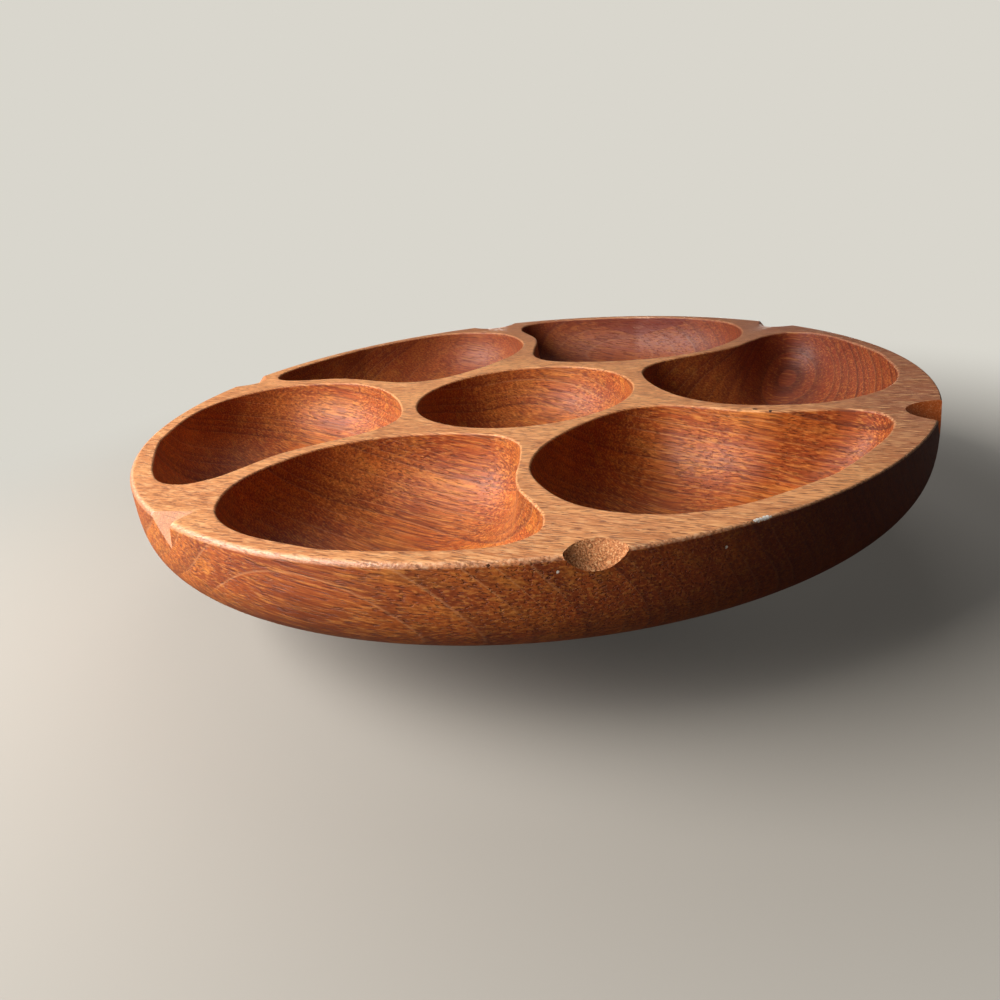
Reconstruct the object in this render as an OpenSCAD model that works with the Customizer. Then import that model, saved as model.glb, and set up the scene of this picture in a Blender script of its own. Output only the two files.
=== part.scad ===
// Turning serving tray carved from one block of hardwood.
// Six comma-shaped pockets turn like a pinwheel around a round centre bowl,
// and thumb notches are gouged into the rim between them.
// The tray spins on a flat ball bearing over a small turned base.
// Millimetres, +Z up, the origin on the spin axis where the pads meet the table.

/* [Tray] */
// Diameter across the rim of the tray
tray_d = 380; // [340:5:460]
// Thickness of the block that the tray is carved from
tray_h = 62; // [56:1:80]
// Diameter of the flat that is left on the underside
flat_d = 160; // [150:2:200]
// Rounding of the outer top edge
rim_ease = 2.5; // [1:0.5:4]

/* [Pockets] */
// Depth of the six comma pockets
pocket_depth = 42; // [30:1:44]
// Rounding of the pocket and bowl edges at the top face
pocket_ease = 1.2; // [0.6:0.1:1.6]
// Diameter of the round bowl in the middle
bowl_d = 109; // [90:1:112]
// Depth of the round bowl
bowl_depth = 40; // [25:1:42]
// How far the bowl was cut back from the spin axis, away from the front
bowl_back = 2.5; // [0:0.5:4]

/* [Thumb notches] */
// Radius of the gouge that cuts the notches
gouge_r = 12; // [9:1:15]
// How far a notch reaches in from the rim
notch_reach = 11; // [8:1:12]
// How far a notch runs down the side
notch_drop = 7.5; // [5:0.5:10]

/* [Bearing] */
// Side of the square bearing plates
plate_side = 102; // [98:1:104]
// Radius of the plate corners
plate_corner = 9; // [4:1:12]
// Thickness of the bearing over both plates
bearing_h = 8; // [8:0.5:12]
// Thickness of the pressed sheet steel
sheet_t = 1.2; // [0.8:0.1:1.4]
// Radius of the circle that the balls run on
race_r = 36; // [34:1:38]
// Diameter of one ball
ball_d = 4.5; // [4:0.1:4.8]
// Number of balls in the race
ball_count = 36; // [24:1:40]
// Running clearance between a ball and its groove
race_play = 0.05; // [0.02:0.01:0.1]

/* [Base] */
// Diameter of the turned base
base_d = 150; // [146:1:158]
// Thickness of the turned base
base_h = 10; // [9:1:16]
// Rounding of the base edges
base_ease = 3; // [1:0.5:4]
// Diameter of the hole for reaching the tray screws
access_d = 12; // [9:1:12]
// Diameter of one pad under the base
pad_d = 16; // [10:1:20]
// Thickness of one pad
pad_h = 2; // [1:0.5:4]
// Distance of the pads from the spin axis
pad_reach = 58; // [40:1:60]

/* [Screws] */
// Diameter of the screw shanks
shank_d = 3.5; // [3:0.1:4]
// Diameter of the screw heads
head_d = 7; // [6:0.1:7.5]
// Height of the screw heads
head_h = 1.8; // [1.2:0.1:2]
// Length of the screws into the tray, under the head
tray_screw_l = 14; // [8:1:16]
// Length of the screws into the base, under the head
base_screw_l = 9; // [5:0.5:9]
// Distance of the screw holes from the plate edges
hole_inset = 8; // [7:0.5:10]
// Diameter of the holes in the plates
plate_hole_d = 4.6; // [4.2:0.1:5]

/* [Hidden] */

$fn = 96;
overrun = 1;
drill_play = 0.05;

// Heights above the table
base_z = pad_h;
bearing_z = base_z + base_h;
mid_z = bearing_h / 2;
tray_z = bearing_z + bearing_h;
tray_top = tray_z + tray_h;
rim_r = tray_d / 2;
flat_r = flat_d / 2;
hole_xy = plate_side / 2 - hole_inset;

// The tray's side is one curve: straight down from the rim, then under to the flat.
// Its two middle points are shares of the rim radius and of the thickness.
side_steps = 20;
side_hold_share = [1, 0.6];
belly_pull_share = [1.015, 0.675];
arris_steps = 4;

// One pocket, as shares of the rim radius: along its sector's middle line, then across.
pocket_shares = [
    [0.960, 0.020], [0.955, 0.090], [0.935, 0.190], [0.905, 0.300], [0.865, 0.375],
    [0.805, 0.410], [0.740, 0.390], [0.685, 0.340], [0.630, 0.285], [0.560, 0.245],
    [0.470, 0.210], [0.385, 0.165], [0.340, 0.095], [0.335, 0.000], [0.360, -0.120],
    [0.410, -0.230], [0.490, -0.315], [0.590, -0.360], [0.700, -0.375], [0.800, -0.345],
    [0.885, -0.275], [0.940, -0.155]];
pocket_steps = 3;

// The deepest point of a pocket, and the point that it was turned and stretched about
deep_share = [0.62, 0];
layout_share = [0.64, 0.03];

// No two pockets were carved alike. For each, from the right round to the front:
// moved along, moved across, turned in degrees, stretched along, stretched across.
hand_shares = [
    [0, 0.015, -4.5, 1.005, 0.94],
    [0.02, -0.01, -1, 1, 1.02],
    [0.02, -0.02, 0.5, 0.98, 1.005],
    [-0.005, -0.005, 1.5, 1, 1.04],
    [-0.01, 0.01, 1.5, 1.02, 0.97],
    [-0.025, 0.012, 2, 1, 0.985]];
pocket_turn = 360 / len(hand_shares);

// A pocket's wall from the top face down, and how square its section is
wall_steps = 7;
wall_power = 0.87;
ease_steps = 2;

// The notches: angle around the tray, then shares of the named reach, drop and gouge radius
notch_cuts = [
    [-141, 1, 1.2, 0.75],
    [-87, 0.95, 0.9, 1],
    [-27, 1.25, 1, 1.25],
    [32, 1, 1, 1],
    [91.5, 1, 1, 1],
    [147, 1, 1, 1]];

// The race: the groove, the gap between the two plates and the hook that holds them together
groove_r = ball_d / 2 + race_play;
race_gap = 1.8;
lip_r = race_r - groove_r - 2 * sheet_t;
hook_play = 0.8;
hook_lift = 0.3;
hook_reach = 2.2;
skirt_run = 2.2;
flat_start = race_r + groove_r + skirt_run;

function bezier(p, t) = pow(1 - t, 3) * p[0] + 3 * pow(1 - t, 2) * t * p[1]
    + 3 * (1 - t) * t * t * p[2] + pow(t, 3) * p[3];

function spline(a, b, c, d, t) = (2 * b + (c - a) * t + (2 * a - 5 * b + 4 * c - d) * t * t
    + (3 * b - a - 3 * c + d) * t * t * t) / 2;

function turned(p, angle) = [p[0] * cos(angle) - p[1] * sin(angle), p[0] * sin(angle) + p[1] * cos(angle)];

// The pocket's outline as points around a smooth closed curve, in shares
function pocket_curve() = let (n = len(pocket_shares)) [
    for (i = [0 : n - 1])
        for (k = [0 : pocket_steps - 1])
            spline(pocket_shares[(i + n - 1) % n], pocket_shares[i], pocket_shares[(i + 1) % n],
                pocket_shares[(i + 2) % n], k / pocket_steps)];

// The same outline as one pocket was carved, in millimetres
function carved(points, hand) = [
    for (p = points)
        let (q = p - layout_share)
            rim_r * (turned([q[0] * hand[3], q[1] * hand[4]], hand[2]) + layout_share + [hand[0], hand[1]])];

// The direction out of the outline at point i
function outward(points, i) = let (n = len(points), d = points[(i + 1) % n] - points[(i + n - 1) % n])
    [d[1], -d[0]] / norm(d);

// The outline grown by a distance, at one height
function grown_ring(points, grow, z) = [
    for (i = [0 : len(points) - 1])
        let (q = points[i] + grow * outward(points, i)) [q[0], q[1], z]];

// The outline drawn in towards the deepest point, at one height
function drawn_ring(points, centre, scale, z) = [
    for (p = points)
        let (q = centre + scale * (p - centre)) [q[0], q[1], z]];

// The walls of a pocket as one closed solid: an eased edge, then the hollow down to its deepest point
module pocket(hand) {
    outline = carved(pocket_curve(), hand);
    centre = rim_r * (deep_share + [hand[0], hand[1]]);
    n = len(outline);
    rings = concat(
        [grown_ring(outline, pocket_ease, tray_top + overrun)],
        [for (s = [0 : ease_steps])
            let (a = 90 * s / ease_steps)
                grown_ring(outline, pocket_ease * (1 - sin(a)), tray_top - pocket_ease * (1 - cos(a)))],
        [for (s = [1 : wall_steps - 1])
            let (a = 90 * s / wall_steps)
                drawn_ring(outline, centre, pow(cos(a), wall_power),
                    tray_top - pocket_ease - (pocket_depth - pocket_ease) * pow(sin(a), wall_power))]);
    last = len(rings) - 1;
    points = [for (ring = rings) for (p = ring) p];
    deepest = [centre[0], centre[1], tray_top - pocket_depth];
    faces = concat(
        [[for (i = [n - 1 : -1 : 0]) i]],
        [for (r = [0 : last - 1]) for (i = [0 : n - 1])
            [r * n + i, r * n + (i + 1) % n, (r + 1) * n + (i + 1) % n]],
        [for (r = [0 : last - 1]) for (i = [0 : n - 1])
            [r * n + i, (r + 1) * n + (i + 1) % n, (r + 1) * n + i]],
        [for (i = [0 : n - 1]) [last * n + i, last * n + (i + 1) % n, len(points)]]);
    polyhedron(points = concat(points, [deepest]), faces = faces);
}

// The centre bowl's hollow, turned about its own axis
module bowl() {
    bowl_r = bowl_d / 2;
    profile = concat(
        [[0, tray_top + overrun], [bowl_r + pocket_ease, tray_top + overrun]],
        [for (s = [0 : arris_steps])
            let (a = 90 * s / arris_steps)
                [bowl_r + pocket_ease * (1 - sin(a)), tray_top - pocket_ease * (1 - cos(a))]],
        [for (s = [1 : side_steps])
            let (a = 90 * s / side_steps)
                [bowl_r * pow(cos(a), wall_power),
                    tray_top - pocket_ease - (bowl_depth - pocket_ease) * pow(sin(a), wall_power)]]);
    translate([0, bowl_back, 0])
        rotate_extrude()
            polygon(profile);
}

// One thumb notch: a gouge pushed outwards and down through the rim
module notch(cut) {
    reach = notch_reach * cut[1];
    drop = notch_drop * cut[2];
    radius = gouge_r * cut[3];
    slope = atan2(drop, reach);
    rotate(cut[0])
        translate([rim_r - reach, 0, tray_top])
            rotate([0, 90 + slope, 0])
                translate([-radius, 0, -radius])
                    cylinder(r = radius, h = 2 * radius + 2 * reach);
}

// The block turned to its outer shape
module turned_block() {
    side = [[rim_r, tray_h - rim_ease],
        [rim_r * side_hold_share[0], tray_h * (1 - side_hold_share[1])],
        [rim_r * belly_pull_share[0], tray_h * (1 - belly_pull_share[1])],
        [flat_r, 0]];
    profile = concat(
        [[0, 0]],
        [for (s = [side_steps : -1 : 0]) bezier(side, s / side_steps)],
        [for (s = [1 : arris_steps])
            let (a = 90 * s / arris_steps)
                [rim_r - rim_ease * (1 - cos(a)), tray_h - rim_ease * (1 - sin(a))]],
        [[0, tray_h]]);
    translate([0, 0, tray_z])
        rotate_extrude()
            polygon(profile);
}

// Places a shape at the four screw holes of a plate
module at_plate_holes() {
    for (x = [-hole_xy, hole_xy])
        for (y = [-hole_xy, hole_xy])
            translate([x, y, 0])
                children();
}

// A pan-head wood screw, point up, with the underside of its head at zero
module wood_screw(length) {
    shank_r = shank_d / 2;
    tip = 2 * shank_r;
    dome_r = (pow(head_d / 2, 2) + pow(head_h, 2)) / (2 * head_h);
    cylinder(r = shank_r, h = length - tip);
    translate([0, 0, length - tip])
        cylinder(r1 = shank_r, r2 = shank_r / 4, h = tip);
    intersection() {
        translate([0, 0, dome_r - head_h])
            sphere(r = dome_r);
        translate([0, 0, -head_h])
            cylinder(d = head_d, h = head_h);
    }
}

// A square plate outline with round corners
module plate_outline() {
    inner = plate_side / 2 - plate_corner;
    square([plate_side, 2 * inner], center = true);
    square([2 * inner, plate_side], center = true);
    for (x = [-inner, inner])
        for (y = [-inner, inner])
            translate([x, y])
                circle(r = plate_corner);
}

// The section of one pressed race: groove, skirt out to the flat, and lip in towards the axis
module race_section(lip_start) {
    brim_z = mid_z - race_gap / 2;
    groove_out = groove_r + sheet_t;
    difference() {
        translate([race_r, mid_z])
            circle(r = groove_out);
        translate([race_r, mid_z])
            circle(r = groove_r);
        translate([race_r - groove_out - overrun, brim_z])
            square([2 * (groove_out + overrun), groove_out + bearing_h]);
    }
    difference() {
        polygon([
            [lip_start, brim_z - sheet_t], [race_r, brim_z - sheet_t], [race_r, brim_z], [lip_start, brim_z]]);
        translate([race_r, mid_z])
            circle(r = groove_r + sheet_t / 2);
    }
    difference() {
        polygon([
            [race_r, brim_z - sheet_t], [race_r + groove_r, brim_z - sheet_t],
            [flat_start, 0], [flat_start + sheet_t, 0], [flat_start + sheet_t, sheet_t],
            [flat_start, sheet_t], [race_r + groove_r + sheet_t / 2, brim_z], [race_r, brim_z]]);
        translate([race_r, mid_z])
            circle(r = groove_r + sheet_t / 2);
    }
}

// The flat of a pressed plate around its race, with its screw holes
module plate_flat() {
    difference() {
        linear_extrude(sheet_t)
            difference() {
                plate_outline();
                circle(r = flat_start + sheet_t / 2);
            }
        at_plate_holes()
            translate([0, 0, -overrun])
                cylinder(d = plate_hole_d, h = sheet_t + 2 * overrun);
    }
}

module tray() {
    color("#a8633a")
        difference() {
            turned_block();
            bowl();
            for (i = [0 : len(hand_shares) - 1])
                rotate(i * pocket_turn)
                    pocket(hand_shares[i]);
            for (cut = notch_cuts)
                notch(cut);
            at_plate_holes()
                translate([0, 0, tray_z - overrun])
                    cylinder(d = shank_d + 2 * drill_play, h = tray_screw_l - sheet_t + 2 * overrun);
        }
}

module turned_base() {
    base_r = base_d / 2;
    color("#8a4a2a")
        difference() {
            translate([0, 0, base_z])
                rotate_extrude() {
                    square([base_r - base_ease, base_h]);
                    translate([0, base_ease])
                        square([base_r, base_h - 2 * base_ease]);
                    translate([base_r - base_ease, base_ease])
                        circle(r = base_ease);
                    translate([base_r - base_ease, base_h - base_ease])
                        circle(r = base_ease);
                }
            at_plate_holes()
                translate([0, 0, bearing_z - base_screw_l - overrun / 2])
                    cylinder(d = shank_d + 2 * drill_play, h = base_screw_l + overrun);
            translate([hole_xy * sqrt(2), 0, base_z - overrun])
                cylinder(d = access_d, h = base_h + 2 * overrun);
        }
}

module bearing_base_plate() {
    color("#b9bcbe")
        translate([0, 0, bearing_z]) {
            plate_flat();
            rotate_extrude()
                race_section(lip_r);
        }
}

module bearing_top_plate() {
    neck_r = lip_r - hook_play;
    color("#c6c9cb")
        translate([0, 0, bearing_z]) {
            translate([0, 0, bearing_h])
                mirror([0, 0, 1])
                    plate_flat();
            rotate_extrude() {
                translate([0, bearing_h])
                    mirror([0, 1])
                        race_section(neck_r - sheet_t);
                translate([neck_r - sheet_t, hook_lift])
                    square([sheet_t, bearing_h - mid_z + race_gap / 2 + sheet_t - hook_lift]);
                translate([neck_r - sheet_t, hook_lift])
                    square([sheet_t + hook_reach, sheet_t]);
            }
        }
}

module bearing_balls() {
    color("#e2e5e8")
        for (i = [0 : ball_count - 1])
            rotate(i * 360 / ball_count)
                translate([race_r, 0, bearing_z + mid_z])
                    sphere(d = ball_d);
}

module tray_screws() {
    color("#d0c48c")
        at_plate_holes()
            translate([0, 0, tray_z - sheet_t])
                wood_screw(tray_screw_l);
}

module base_screws() {
    color("#d0c48c")
        at_plate_holes()
            translate([0, 0, bearing_z + sheet_t])
                mirror([0, 0, 1])
                    wood_screw(base_screw_l);
}

module base_pads() {
    color("#3b302a")
        for (a = [45 : 90 : 315])
            rotate(a)
                translate([pad_reach, 0, 0])
                    cylinder(d = pad_d, h = pad_h);
}

tray();
turned_base();
bearing_top_plate();
bearing_base_plate();
bearing_balls();
tray_screws();
base_screws();
base_pads();
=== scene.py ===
# %% [markdown]
# # A turning serving tray, carved from one block
# The tray is a thick round of red-brown hardwood. Six comma-shaped pockets turn
# like a pinwheel around a round bowl. Under it, out of sight from above, a flat
# ball bearing lets it spin on a low turned base. The CAD model gives every size
# and place, in metres: +Z is up the spin axis and -Y is the front.

# %% Load the frame and keep its box
import math

import bmesh
import bpy
import numpy as np
from mathutils import Matrix, Vector


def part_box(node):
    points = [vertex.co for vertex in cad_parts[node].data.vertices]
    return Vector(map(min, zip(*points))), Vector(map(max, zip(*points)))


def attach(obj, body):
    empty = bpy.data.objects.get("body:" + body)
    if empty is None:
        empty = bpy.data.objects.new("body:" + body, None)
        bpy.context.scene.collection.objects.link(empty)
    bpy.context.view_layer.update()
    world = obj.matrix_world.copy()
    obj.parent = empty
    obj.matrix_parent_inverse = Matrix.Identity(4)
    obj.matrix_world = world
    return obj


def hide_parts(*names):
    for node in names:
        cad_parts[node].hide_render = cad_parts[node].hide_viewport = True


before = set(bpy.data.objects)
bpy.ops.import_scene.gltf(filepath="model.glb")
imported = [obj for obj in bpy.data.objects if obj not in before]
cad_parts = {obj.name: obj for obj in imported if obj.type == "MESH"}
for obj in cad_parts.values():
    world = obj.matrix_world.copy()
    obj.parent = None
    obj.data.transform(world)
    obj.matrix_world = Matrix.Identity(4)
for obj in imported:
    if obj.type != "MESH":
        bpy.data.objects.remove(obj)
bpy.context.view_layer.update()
MM = 0.001
TRAY_LOW, TRAY_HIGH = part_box("tray")
# finer facets reach further out than the CAD's, so the tray's copy is a hair smaller
# and stays in the CAD box
HAIR = 0.02 * MM
RIM_R = TRAY_HIGH.x - HAIR
TOP_Z = TRAY_HIGH.z

# %% [markdown]
# Colours are written as the sRGB hex values that an eye would read off the
# object. Blender's shaders work in linear light, so one function converts them.
# One small function also adds every shader node: it sets the node's options,
# fills or links its inputs and hands back the output that the next node needs.
# The Mix node's sockets for values and for colours have the same names, so the
# ones in use are told apart by their numbers.

# %% Colour and node helpers
VALUE_A, VALUE_B, COLOUR_A, COLOUR_B = 2, 3, 6, 7
AS_COLOUR = {"out": 2, "data_type": "RGBA"}


def linear(hex_colour):
    """An sRGB hex colour as linear red, green, blue and alpha."""
    parts = [int(hex_colour[i:i + 2], 16) / 255 for i in (1, 3, 5)]
    light = [p / 12.92 if p <= 0.04045 else ((p + 0.055) / 1.055) ** 2.4 for p in parts]
    return light + [1.0]


def add(tree, kind, *values, out=0, stops=None, **settings):
    """Adds a shader node, fills or links its inputs, and returns one of its outputs.

    Inputs come in order, or in a dictionary by their name or number.
    """
    node = tree.nodes.new("ShaderNode" + kind)
    for name, value in settings.items():
        setattr(node, name, value)
    inputs = {}
    for i, value in enumerate(values):
        inputs.update(value if isinstance(value, dict) else {i: value})
    for key, value in inputs.items():
        if isinstance(value, bpy.types.NodeSocket):
            tree.links.new(value, node.inputs[key])
        else:
            node.inputs[key].default_value = value
    for i, (place, colour) in enumerate(stops or []):
        ramp = node.color_ramp.elements
        stop = ramp[i] if i < len(ramp) else ramp.new(place)
        stop.position = place
        stop.color = linear(colour)
    return node.outputs[out] if node.outputs else node


def new_material(name):
    """An empty material and its node tree."""
    material = bpy.data.materials.new(name)
    material.use_nodes = True
    material.node_tree.nodes.clear()
    return material, material.node_tree


print("mid red-brown in linear light:", [round(v, 3) for v in linear("#a8633a")[:3]])

# %% [markdown]
# The camera stands low in front of the tray and looks down at it by about
# 22 degrees, held a little crooked, so the tray's right side rises in the frame.
# Its place and lens were solved from the rim, the pockets and the bowl, and three
# points are printed where they fall in the picture.

# %% Camera
CAMERA_AT = (-0.01803, -0.44318, 0.20411)
LOOK_DOWN = math.radians(21.816)
ROLL = math.radians(6.238)
LENS = 32.6
SENSOR = 36

camera_data = bpy.data.cameras.new("camera")
camera_data.lens = LENS
camera_data.sensor_width = SENSOR
camera = bpy.data.objects.new("camera", camera_data)
bpy.context.scene.collection.objects.link(camera)
camera.rotation_mode = "QUATERNION"
camera.location = CAMERA_AT
turn = Matrix.Rotation(math.pi / 2 - LOOK_DOWN, 4, "X") @ Matrix.Rotation(-ROLL, 4, "Z")
camera.rotation_quaternion = turn.to_quaternion()
bpy.context.scene.camera = camera
bpy.context.view_layer.update()


def pixel(point, width=1000):
    """Where a point falls in the picture, in pixels from the top left corner."""
    x, y, z = camera.matrix_world.inverted() @ Vector(point)
    scale = LENS / SENSOR * width
    return round(width / 2 - scale * x / z, 1), round(width / 2 + scale * y / z, 1)


print("centre, right rim, front rim:",
      pixel((0, 0, TOP_Z)), pixel((RIM_R, 0, TOP_Z)), pixel((0, -RIM_R, TOP_Z)))

# %% [markdown]
# The stage is a pale sweep: a flat floor that curves up into a wall all round.
# A plain plane would show its edge and a horizon from the sides, and the sweep
# shows none. It is one turned surface, made by a function that will turn the
# tray's block as well.

# %% A turned surface
def turned(name, profile, turns):
    """A surface turned about Z from (radius, height) points. Points on the axis close it."""
    points, rings = [], []
    for radius, height in profile:
        count = turns if radius else 1
        rings.append(range(len(points), len(points) + count))
        for k in range(count):
            angle = 2 * math.pi * k / turns
            points.append((radius * math.cos(angle), radius * math.sin(angle), height))
    faces = []
    for low, high in zip(rings, rings[1:]):
        for k in range(turns):
            j = (k + 1) % turns
            corners = [low[k % len(low)], low[j % len(low)],
                       high[j % len(high)], high[k % len(high)]]
            face = [c for i, c in enumerate(corners) if c != corners[i - 1]]
            if len(face) > 2:
                faces.append(face)
    return new_piece(name, points, faces)


def new_piece(name, points, faces):
    """A mesh object from points and faces, smooth shaded."""
    mesh = bpy.data.meshes.new(name)
    mesh.from_pydata([tuple(p) for p in points], [], faces)
    mesh.update()
    mesh.polygons.foreach_set("use_smooth", [True] * len(mesh.polygons))
    piece = bpy.data.objects.new(name, mesh)
    bpy.context.scene.collection.objects.link(piece)
    return piece


# %% [markdown]
# The floor is matt paint. Near the tray it is a surface that takes the shadow, and
# further out it turns into a soft glow of its own pale colour. Paint alone would
# need far stronger lamps to look as pale, and they would bleach the wood. Only the
# camera and shiny things see the glow, so it never lights the tray.

# %% Floor and wall
FLOOR_R, SWEEP_R, WALL_H = 2.6, 0.7, 2.4
INNER_R, MIDDLE_R = 0.5, 1.2
SHADOW_R, GLOW_R = 0.24, 0.50
SWEEP_STEPS, FLOOR_TURNS = 12, 96
stage_profile = [(0, 0), (INNER_R, 0), (MIDDLE_R, 0), (FLOOR_R, 0)]
stage_profile += [(FLOOR_R + SWEEP_R * math.sin(a), SWEEP_R * (1 - math.cos(a)))
                  for a in np.linspace(0, math.pi / 2, SWEEP_STEPS + 1)[1:]]
stage_profile += [(FLOOR_R + SWEEP_R, WALL_H)]
floor = turned("floor_sweep", stage_profile, FLOOR_TURNS)

painted, tree = new_material("matt_painted_sweep")
place = add(tree, "TexCoord", out="Object")
ray = add(tree, "LightPath").node.outputs
dim = add(tree, "Math", ray["Is Glossy Ray"], 0.1, operation="MULTIPLY")
seen = add(tree, "Math", ray["Is Camera Ray"], dim, operation="MAXIMUM")
seen = add(tree, "Math", seen, ray["Is Transmission Ray"], operation="MAXIMUM")
paint = add(tree, "Mix", seen, {COLOUR_A: linear("#4d4038"), COLOUR_B: linear("#aeaaa3")}, **AS_COLOUR)
near = add(tree, "BsdfPrincipled", {"Base Color": paint, "Roughness": 0.85})
glow = add(tree, "Emission", linear("#d9d6cd"), 1.0)
distance = add(tree, "VectorMath", place, out="Value", operation="LENGTH")
far = add(tree, "MapRange", distance, SHADOW_R, GLOW_R, 0.06,
          interpolation_type="SMOOTHSTEP")
share = add(tree, "Math", seen, far, operation="MULTIPLY")
shader = add(tree, "MixShader", share, near, glow)
add(tree, "OutputMaterial", {"Surface": shader})
floor.data.materials.append(painted)
print("floor reaches", FLOOR_R, "m, wall height", WALL_H, "m")

# %% [markdown]
# The light comes from one wide window on the left, a little in front of the tray:
# it draws the bright line on the left of the rim, lights the right-hand walls of
# the pockets and leaves the left-hand ones deep brown. A second window far back on
# the left and a soft panel high behind give the walls their sheen. Two long, low
# panels stand level with the tray: they reach the outer wall, the base and the
# bearing, but not into the pockets. A panel overhead and the world are weak. All
# are area lamps, because a window is one: the shadows it casts have soft edges.

# %% Lights
def soft_light(name, at, aim, size, watts, colour):
    """A rectangular panel of light that faces a point."""
    data = bpy.data.lights.new(name, "AREA")
    data.shape = "RECTANGLE"
    data.size, data.size_y = size
    data.energy = watts
    data.color = linear(colour)[:3]
    lamp = bpy.data.objects.new(name, data)
    lamp.location = at
    lamp.visible_camera = False
    lamp.rotation_mode = "QUATERNION"
    lamp.rotation_quaternion = (Vector(aim) - Vector(at)).to_track_quat("-Z", "Y")
    bpy.context.scene.collection.objects.link(lamp)


MID_TRAY, FLOOR_CENTRE = (0, 0, 0.05), (0, 0, 0)
# name, place, the point it faces, width and height, watts, colour
LAMPS = [("window", (-0.76, -0.22, 0.57), MID_TRAY, (0.85, 0.55), 17, "#fffaf4"),
         ("far_window", (-1.15, 0.70, 0.45), MID_TRAY, (0.8, 0.5), 2, "#f6f9ff"),
         ("behind", (0.1, 0.70, 1.25), MID_TRAY, (0.8, 0.8), 2.2, "#ffffff"),
         ("overhead", (-0.2, -0.1, 1.7), FLOOR_CENTRE, (1.6, 1.6), 0.4, "#ffffff"),
         ("low_left", (-1.0, -0.42, 0.05), MID_TRAY, (0.9, 0.08), 2, "#fff4ea"),
         ("low_back", (0.2, 1.18, 0.05), MID_TRAY, (0.9, 0.08), 9, "#fff4ea")]
for lamp_values in LAMPS:
    soft_light(*lamp_values)

WORLD_STRENGTH = 0.022
world = bpy.data.worlds.new("studio")
world.use_nodes = True
background = world.node_tree.nodes["Background"].inputs
background["Color"].default_value = linear("#f2e6da")
background["Strength"].default_value = WORLD_STRENGTH
bpy.context.scene.world = world
bpy.context.scene.view_settings.view_transform = "Standard"

# %% [markdown]
# ## The tray's form
# The CAD tray has every form but few facets, so a closer copy replaces it. A
# subdivision modifier could smooth the CAD mesh, but it would also round off the
# notches' crisp rims. So the copy is made as the real tray was, turned and then
# carved. The block comes first: one curve runs from the rim down and in to the
# flat, the same as in the CAD model, and a small round softens the top edge.

# %% The turned block
TRAY_H = TOP_Z - TRAY_LOW.z
FLAT_R = 80 * MM
RIM_EASE = 2.5 * MM
SIDE_STEPS, ARRIS_STEPS, BLOCK_TURNS = 40, 7, 320
# the curve's two handles, in shares of the rim radius and of the height
HANDLE_SHARES = [(1, 0.4), (1.015, 0.325)]
handles = [(RIM_R * r, TRAY_H * z) for r, z in HANDLE_SHARES]
side = [(RIM_R, TRAY_H - RIM_EASE), *handles, (FLAT_R, 0)]


def bezier(p, t):
    """A point on a cubic curve with four control points."""
    weights = [(1 - t) ** 3, 3 * (1 - t) ** 2 * t, 3 * (1 - t) * t * t, t ** 3]
    return tuple(sum(w * q[axis] for w, q in zip(weights, p)) for axis in (0, 1))


block_profile = [(0, 0)] + [bezier(side, 1 - s / SIDE_STEPS) for s in range(SIDE_STEPS + 1)]
for s in range(1, ARRIS_STEPS + 1):
    a = math.pi / 2 * s / ARRIS_STEPS
    block_profile.append((RIM_R - RIM_EASE * (1 - math.cos(a)),
                          TRAY_H - RIM_EASE * (1 - math.sin(a))))
block_profile.append((0, TRAY_H))
tray = turned("tray_carved", [(r, z + TRAY_LOW.z) for r, z in block_profile], BLOCK_TURNS)
print("block:", len(tray.data.vertices), "points,", round(2 * RIM_R / MM), "mm across")

# %% [markdown]
# Hands have taken the tray by its left side for years, so the arris is a broad
# polished round there and still nearly sharp opposite. A bevel would be equally
# wide all round, so each point of the rounded edge is moved to a smaller round
# by its angle.

# %% Worn and sharp arris
WORN_ANGLE, SHARP_SHARE = math.radians(-150), 0.4
# the cosine of the angle from the worn side where the wear begins, and where it is full
WEAR_BEGINS, WEAR_FULL = -0.2, 0.9
for vertex in tray.data.vertices:
    x, y, z = vertex.co
    over, out_by = z - (TOP_Z - RIM_EASE), math.hypot(x, y) - (RIM_R - RIM_EASE)
    if over > 0 and out_by > 0:
        near = math.cos(math.atan2(y, x) - WORN_ANGLE)
        worn = min(1.0, max(0.0, (near - WEAR_BEGINS) / (WEAR_FULL - WEAR_BEGINS)))
        ease = SHARP_SHARE + (1 - SHARP_SHARE) * worn * worn * (3 - 2 * worn)
        new_r = RIM_R - RIM_EASE * ease + out_by * ease
        vertex.co = (x * new_r / math.hypot(x, y), y * new_r / math.hypot(x, y),
                     TOP_Z - RIM_EASE * ease + over * ease)
print("arris, mm: worn", round(RIM_EASE / MM, 1),
      "sharp", round(RIM_EASE * SHARP_SHARE / MM, 1))

# %% [markdown]
# A pocket could be sculpted or pressed into the face by a displacement, but then
# its edge would be as coarse as the grid. A closed loft keeps a clean edge all
# round. Its outline is a smooth curve through 22 points, in shares of the rim
# radius. Each of the six was carved by hand, so each is moved, turned and
# stretched a little. From the top face a small eased edge leads into the wall,
# and the wall shrinks towards the deepest point. A slow ripple of about a tenth
# of a millimetre stands for the marks that the gouge and the sanding left.

# %% Pocket tables
POCKET_SHARES = np.array([
    (0.960, 0.020), (0.955, 0.090), (0.935, 0.190), (0.905, 0.300), (0.865, 0.375),
    (0.805, 0.410), (0.740, 0.390), (0.685, 0.340), (0.630, 0.285), (0.560, 0.245),
    (0.470, 0.210), (0.385, 0.165), (0.340, 0.095), (0.335, 0.000), (0.360, -0.120),
    (0.410, -0.230), (0.490, -0.315), (0.590, -0.360), (0.700, -0.375), (0.800, -0.345),
    (0.885, -0.275), (0.940, -0.155)])
DEEPEST_SHARES = np.array((0.62, 0.0))
MIDDLE_SHARES = np.array((0.64, 0.03))
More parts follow.
